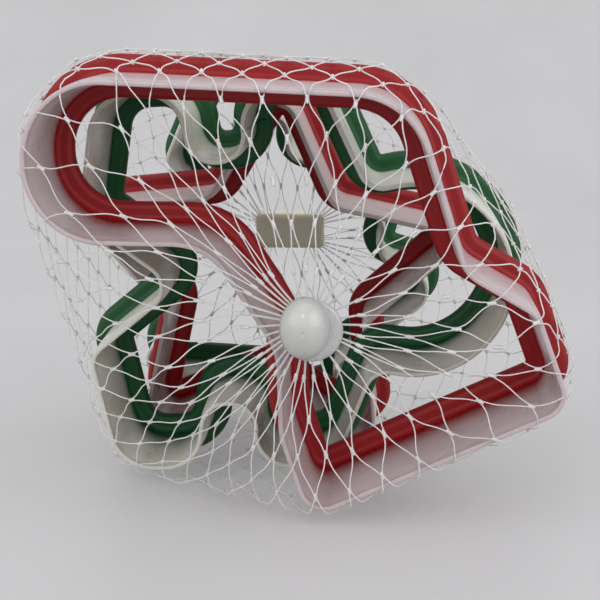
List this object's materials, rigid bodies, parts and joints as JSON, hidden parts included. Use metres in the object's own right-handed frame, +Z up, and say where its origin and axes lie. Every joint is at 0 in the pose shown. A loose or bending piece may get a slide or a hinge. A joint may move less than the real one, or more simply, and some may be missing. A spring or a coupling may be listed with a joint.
{
  "type": "cookie cutter set",
  "caption": "Cookie cutters of holiday shapes, white cutting walls in coloured grip rims, standing one behind another in a gathered white net bag with a dome button.",
  "frame": {"origin": "on the floor, under the middle of the bag's flat underside", "axes": "+X to the right across the cutters, +Y back through the stack from the stocking to the tree, +Z up"},
  "size_m": [0.0942, 0.11, 0.0802],
  "materials": {
    "net": "fine white knotted cord",
    "clip": "satin cream",
    "washer": "translucent white",
    "button": "glossy white",
    "blade_stocking": "glossy white, tinted red at the root",
    "grip_stocking": "glossy red",
    "blade_gingerbread": "glossy white, tinted green at the root",
    "grip_gingerbread": "glossy dark green",
    "blade_star": "glossy white, tinted red at the root",
    "grip_star": "glossy red",
    "blade_tree": "glossy white, tinted green at the root",
    "grip_tree": "glossy dark green"
  },
  "bodies": {
    "bag": {"net_bag": "net", "rear_clip": "clip", "front_washer": "washer"},
    "front_button": {"front_button": "button"},
    "stocking": {"stocking_blade": "blade_stocking", "stocking_grip": "grip_stocking"},
    "gingerbread": {"gingerbread_blade": "blade_gingerbread", "gingerbread_grip": "grip_gingerbread"},
    "star": {"star_blade": "blade_star", "star_grip": "grip_star"},
    "tree": {"tree_blade": "blade_tree", "tree_grip": "grip_tree"}
  },
  "joints": [
    {"name": "stocking_shift", "type": "slide", "parent": "bag", "child": "stocking", "axis": [0, 0.9962, 0.0872], "range_m": [0, 0.0007]},
    {"name": "gingerbread_shift", "type": "slide", "parent": "bag", "child": "gingerbread", "axis": [0, 0.9962, 0.0872], "range_m": [0, 0.0007]},
    {"name": "star_shift", "type": "slide", "parent": "bag", "child": "star", "axis": [0, 0.9962, 0.0872], "range_m": [0, 0.0007]},
    {"name": "tree_shift", "type": "slide", "parent": "bag", "child": "tree", "axis": [0, 0.9962, 0.0872], "range_m": [0, 0.0007]},
    {"name": "button_pull", "type": "slide", "parent": "bag", "child": "front_button", "axis": [0, -0.9962, -0.0872], "range_m": [0, 0.004]}
  ]
}
